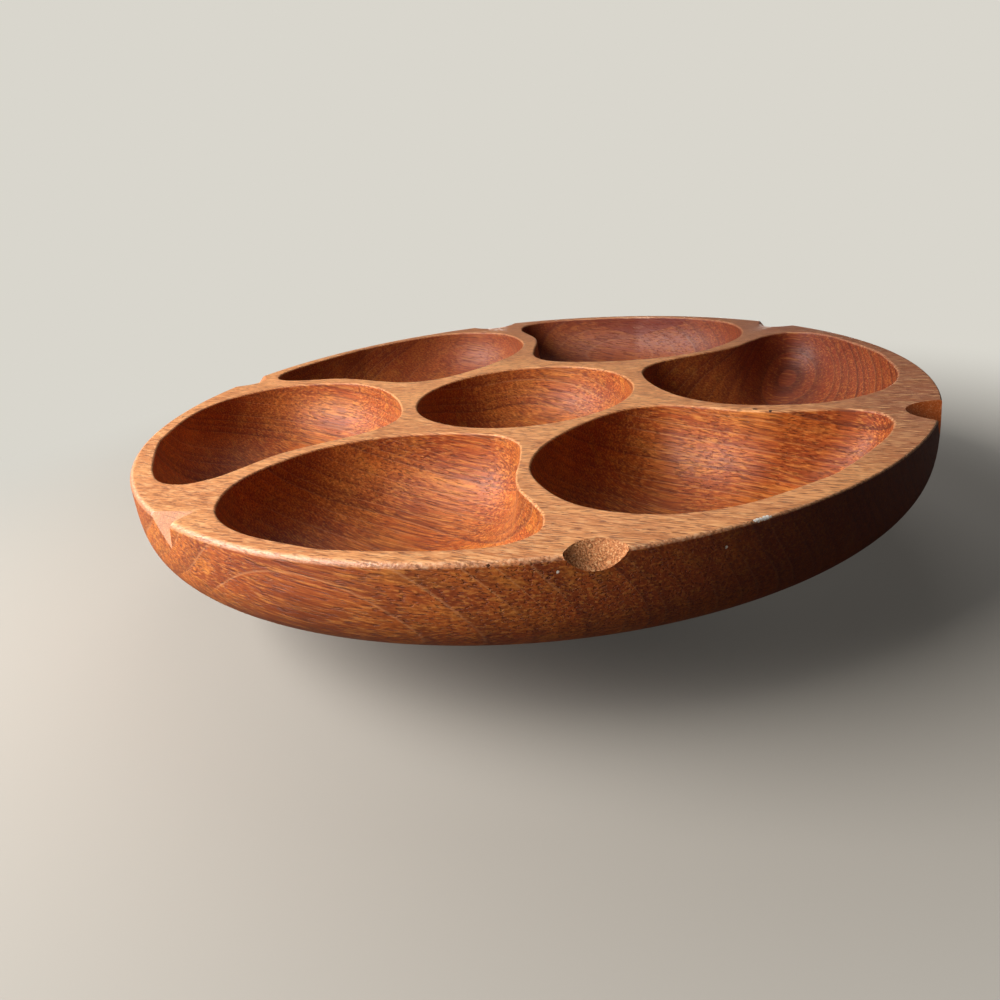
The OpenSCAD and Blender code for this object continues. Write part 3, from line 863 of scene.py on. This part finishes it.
print("lathe rings, mm apart:", round(LATHE_STEP / MM, 1))

# %% [markdown]
# The bearing plates are pressed from steel sheet and zinc plated. Bright zinc
# shows a cool grey with faint crystals a few millimetres across, fine rolling
# lines along the sheet and slight stains. Voronoi cells give each crystal a grey
# of its own, where noise would blur them into each other.

# %% Bearing plate material
CRYSTAL, LINE_WIDE, LINE_LONG, LINE_DEPTH = 4 * MM, 0.5 * MM, 33 * MM, 0.01 * MM
# a stain every 17 mm
STAIN_SCALE = 0.06 / MM
zinc, tree = new_material("zinc_plated_sheet_steel")
place = add(tree, "TexCoord", out="Object")
crystal = add(tree, "TexVoronoi", {"Vector": place, "Scale": 1 / CRYSTAL}, out="Color")
crystal = add(tree, "SeparateColor", crystal)
stretch = add(tree, "VectorMath", place, (1 / LINE_LONG, 1 / LINE_WIDE, 1 / LINE_LONG),
              operation="MULTIPLY")
rolled = add(tree, "TexNoise", {"Vector": stretch, "Scale": 1.0, "Detail": 2.0})
stain = add(tree, "TexNoise", {"Vector": place, "Scale": STAIN_SCALE, "Detail": 3.0})
stain = add(tree, "MapRange", stain, 0.55, 0.75, interpolation_type="SMOOTHSTEP")
metal = add(tree, "Mix", crystal, {COLOUR_A: linear("#c3c7cb"), COLOUR_B: linear("#b4b9be")}, **AS_COLOUR)
metal = add(tree, "Mix", stain, {COLOUR_A: metal, COLOUR_B: linear("#b9b3a2")}, **AS_COLOUR)
rough = add(tree, "MapRange", crystal, 0.0, 1.0, 0.26, 0.34)
rough = add(tree, "Math", rolled, 0.18, rough, operation="MULTIPLY_ADD")
bumped = add(tree, "Bump", {"Height": rolled, "Strength": 1.0, "Distance": LINE_DEPTH})
shader = add(tree, "BsdfPrincipled", {"Base Color": metal, "Metallic": 1.0, "Roughness": rough,
                                      "Normal": bumped})
add(tree, "OutputMaterial", {"Surface": shader})
print("zinc crystals, mm across:", round(CRYSTAL / MM))

# %% [markdown]
# The balls are hardened, polished steel under a thin film of amber grease. The
# screws are steel passivated to a thin yellow film that shifts from gold to pink
# and green. The shader has a thin film of its own, but a ramp of colours over slow
# noise keeps the shift in the base colour, which other programs read too. Both
# are metals, so they keep the default IOR.

# %% Ball and screw materials
GREASE_PATCH, FILM_PATCH, SCUFF, SCUFF_DEPTH = 3 * MM, 2.5 * MM, 0.4 * MM, 0.02 * MM
polished, tree = new_material("polished_bearing_steel")
place = add(tree, "TexCoord", out="Object")
grease = add(tree, "TexNoise", {"Vector": place, "Scale": 1 / GREASE_PATCH, "Detail": 2.0})
grease = add(tree, "MapRange", grease, 0.45, 0.65, interpolation_type="SMOOTHSTEP")
steel = add(tree, "Mix", grease, {COLOUR_A: linear("#dcdddf"), COLOUR_B: linear("#b39a6a")}, **AS_COLOUR)
rough = add(tree, "MapRange", grease, 0.0, 1.0, 0.07, 0.29)
shader = add(tree, "BsdfPrincipled", {"Base Color": steel, "Metallic": 1.0, "Roughness": rough})
add(tree, "OutputMaterial", {"Surface": shader})

passivated, tree = new_material("yellow_passivated_zinc")
place = add(tree, "TexCoord", out="Object")
drift = add(tree, "TexNoise", {"Vector": place, "Scale": 1 / FILM_PATCH, "Detail": 2.0})
film = add(tree, "ValToRGB", drift, stops=[(0.30, "#c7b76e"), (0.45, "#d8bd6a"),
                                           (0.58, "#c99c86"), (0.72, "#a8b483")])
scuff = add(tree, "TexNoise", {"Vector": place, "Scale": 1 / SCUFF, "Detail": 1.0})
rough = add(tree, "MapRange", scuff, 0.0, 1.0, 0.2, 0.4)
bumped = add(tree, "Bump", {"Height": scuff, "Strength": 1.0, "Distance": SCUFF_DEPTH})
shader = add(tree, "BsdfPrincipled", {"Base Color": film, "Metallic": 1.0, "Roughness": rough,
                                      "Normal": bumped})
add(tree, "OutputMaterial", {"Surface": shader})

for node, finish in (("turned_base", turned_wood), ("bearing_top_plate", zinc),
                     ("bearing_base_plate", zinc), ("bearing_balls", polished)):
    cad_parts[node].data.materials.clear()
    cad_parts[node].data.materials.append(finish)
    print(node, "is finished as", finish.name)

# %% [markdown]
# A wood screw has a pan head with a cross recess, a coarse thread and a point.
# The CAD screws are plain, so fuller ones replace them in the same places. A
# thread could be a ribbon wound round the shank, but here both are one grid, so
# the screw is one closed solid. At each height the radius swells once round the
# shank, and the swelling climbs one pitch per turn.

# %% One wood screw
HEAD_R, HEAD_H = 3.5 * MM, 1.8 * MM
CORE_R, RIDGE_R, PITCH = 1.15 * MM, 1.75 * MM, 1.25 * MM
SCREW_SIDES, STEPS_PER_PITCH, DOME_STEPS = 20, 7, 6
DOME_SHARE, EDGE_SHARE, UNDER_SHARE, NECK_SHARE = 0.75, 0.1, 0.97, 0.9
POINT_LONG, NECK_LONG = 3.0 * MM, 1.6 * MM
SLOT_LONG, SLOT_WIDE, SLOT_DEEP = 3.6 * MM, 0.75 * MM, 1.2 * MM


def screw_surface(length):
    """Rings of a screw that points up, its head under height 0, as (radius by angle, height)."""
    rings = []
    for share in np.linspace(0, 1, DOME_STEPS + 1)[1:]:
        a = share * math.pi / 2
        dome = HEAD_H * DOME_SHARE * (1 - math.cos(a)) - HEAD_H
        rings.append((lambda turn, r=HEAD_R * math.sin(a): r, dome))
    rings += [(lambda turn: HEAD_R, -EDGE_SHARE * HEAD_H), (lambda turn: HEAD_R * UNDER_SHARE, 0.0),
              (lambda turn: RIDGE_R * NECK_SHARE, 0.0)]
    steps = int((length - NECK_LONG) / PITCH * STEPS_PER_PITCH)
    for step in range(steps):
        height = NECK_LONG + (length - NECK_LONG) * step / steps
        taper = min(1.0, (length - height) / POINT_LONG)

        def radius(turn, height=height, taper=taper):
            crest = (1 - abs(2 * ((height / PITCH - turn) % 1.0) - 1)) ** 3
            return taper * (CORE_R + (RIDGE_R - CORE_R) * crest)

        rings.append((radius, height))
    return rings


def wood_screw(name, length):
    """A wood screw that points up, with its head's underside at height 0."""
    points = [(0, 0, -HEAD_H)]
    rings = screw_surface(length)
    for radius, height in rings:
        for k in range(SCREW_SIDES):
            turn = k / SCREW_SIDES
            r, a = radius(turn), 2 * math.pi * turn
            points.append((r * math.cos(a), r * math.sin(a), height))
    points.append((0, 0, length))
    first = [1 + k for k in range(SCREW_SIDES)]
    last = [1 + (len(rings) - 1) * SCREW_SIDES + k for k in range(SCREW_SIDES)]
    faces = [(0, first[(k + 1) % SCREW_SIDES], first[k]) for k in range(SCREW_SIDES)]
    for r in range(len(rings) - 1):
        low = 1 + r * SCREW_SIDES
        high = low + SCREW_SIDES
        faces += [(low + k, low + (k + 1) % SCREW_SIDES, high + (k + 1) % SCREW_SIDES, high + k)
                  for k in range(SCREW_SIDES)]
    faces += [(last[k], last[(k + 1) % SCREW_SIDES], len(points) - 1) for k in range(SCREW_SIDES)]
    return new_piece(name, points, faces)


print("screw head, mm:", round(2 * HEAD_R / MM, 1), "thread pitch, mm:", round(PITCH / MM, 2))

# %% [markdown]
# The cross recess is cut with two slim wedges, like the driver's own blades. A
# wedge is a box whose far end is narrower.

# %% Cross recess
MOUTH_SHARE, TIP_SHARE = 1.2, 0.6
BOX_FACES = [(0, 3, 2, 1), (4, 5, 6, 7), (0, 1, 5, 4), (1, 2, 6, 5), (2, 3, 7, 6), (3, 0, 4, 7)]


def blade(along_x):
    """A wedge that reaches into the head from below."""
    points = []
    for height, share in ((-HEAD_H - OVERRUN, MOUTH_SHARE), (-HEAD_H + SLOT_DEEP, TIP_SHARE)):
        half_long, half_wide = SLOT_LONG / 2 * share, SLOT_WIDE / 2 * share
        x, y = (half_long, half_wide) if along_x else (half_wide, half_long)
        points += [(-x, -y, height), (x, -y, height), (x, y, height), (-x, y, height)]
    return new_piece("blade", points, BOX_FACES)


SCREW_AT, TRAY_SCREW_Z, BASE_SCREW_Z = 43 * MM, 18.8 * MM, 13.2 * MM
TRAY_SCREW_LONG, BASE_SCREW_LONG = 14 * MM, 9 * MM
SCREW_SHARP_DEGREES = 40
for node, length, height, flip in (("tray_screws", TRAY_SCREW_LONG, TRAY_SCREW_Z, 0.0),
                                   ("base_screws", BASE_SCREW_LONG, BASE_SCREW_Z, math.pi)):
    screws = []
    for x in (-SCREW_AT, SCREW_AT):
        for y in (-SCREW_AT, SCREW_AT):
            screw = wood_screw("screw", length)
            face_outwards(screw)
            for along_x in (True, False):
                carve(screw, blade(along_x))
            screw.data.transform(Matrix.Translation((x, y, height)) @ Matrix.Rotation(flip, 4, "X"))
            screws.append(screw)
    whole = joined(node + "_threaded", screws)
    crisp(whole, SCREW_SHARP_DEGREES)
    whole.data.materials.append(passivated)
    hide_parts(node)
    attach(whole, "turntable" if node == "tray_screws" else "base")
    points = np.array([vertex.co for vertex in whole.data.vertices])
    low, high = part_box(node)
    print(node, "faces:", len(whole.data.polygons))
    print("  CAD box, mm:", [round(v / MM, 1) for v in (*low, *high)],
          "piece:", [round(v / MM, 1) for v in (*points.min(0), *points.max(0))])

# %% [markdown]
# The pads are pressed wool felt: short fibres matted every way, dull, with a
# faint sheen and paler lint. They were punched from sheet and have carried the
# tray's weight, so their rims are soft, a little uneven and bulged at mid-height.
# Single hairs would be too fine to see from any side, so a bump stands for them.

# %% Felt pads
PAD_R, PAD_H, PAD_AT, PAD_SOFT = 8 * MM, 2 * MM, 58 * MM, 0.5 * MM
FLAT_SHARE = 0.6
PADS, PAD_HEADING, PAD_TURNS, PAD_RIM_STEPS, PAD_SHARP_DEGREES = 4, 45, 48, 8, 60
# how deep in shares of the radius, how many round, and how far each pad's are shifted
RIM_WAVES = [(0.012, 7, 1), (0.008, 17, 2)]
FIBRE_SIZE, FELT_DEPTH = 0.5 * MM, 0.25 * MM
pads = []
for k in range(PADS):
    rim = [(PAD_R - PAD_SOFT * (1 - math.sin(a)), PAD_H / 2 - PAD_H / 2 * math.cos(a))
           for a in np.linspace(0, math.pi, PAD_RIM_STEPS + 1)]
    flat_r = PAD_R * FLAT_SHARE
    pad = turned("pad", [(0, 0), (flat_r, 0), *rim, (flat_r, PAD_H), (0, PAD_H)], PAD_TURNS)
    for vertex in pad.data.vertices:
        angle = math.atan2(vertex.co.y, vertex.co.x)
        uneven = 1.0
        for depth, count, shift in RIM_WAVES:
            uneven -= depth * (1 + math.sin(count * angle + shift * k))
        vertex.co.x *= uneven
        vertex.co.y *= uneven
    quarter = Matrix.Rotation(math.radians(PAD_HEADING + 360 / PADS * k), 4, "Z")
    pad.data.transform(quarter @ Matrix.Translation((PAD_AT, 0, 0)))
    pads.append(pad)
felt_pads = joined("base_pads_felt", pads)
crisp(felt_pads, PAD_SHARP_DEGREES)

felt, tree = new_material("pressed_wool_felt")
place = add(tree, "TexCoord", out="Object")
matted = add(tree, "TexNoise", {"Vector": place, "Scale": 1 / FIBRE_SIZE, "Detail": 4.0,
                                "Distortion": 2.0})
wool = add(tree, "ValToRGB", matted,
           stops=[(0.35, "#2c211c"), (0.55, "#3f322b"), (0.75, "#6a5a4e")])
bumped = add(tree, "Bump", {"Height": matted, "Strength": 1.0, "Distance": FELT_DEPTH})
shader = add(tree, "BsdfPrincipled", {"Base Color": wool, "Roughness": 0.95, "Normal": bumped,
                                      "Sheen Weight": 0.4, "Sheen Roughness": 0.5})
add(tree, "OutputMaterial", {"Surface": shader})
felt_pads.data.materials.append(felt)
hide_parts("base_pads")
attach(felt_pads, "base")
print("pads:", len(felt_pads.data.polygons), "faces")
print("finishes:", [m.name for m in bpy.data.materials])

# %% [markdown]
# The dressed tray has to stay inside the CAD model's box, because the sizes are
# settled there.

# %% Finish
bpy.context.view_layer.update()
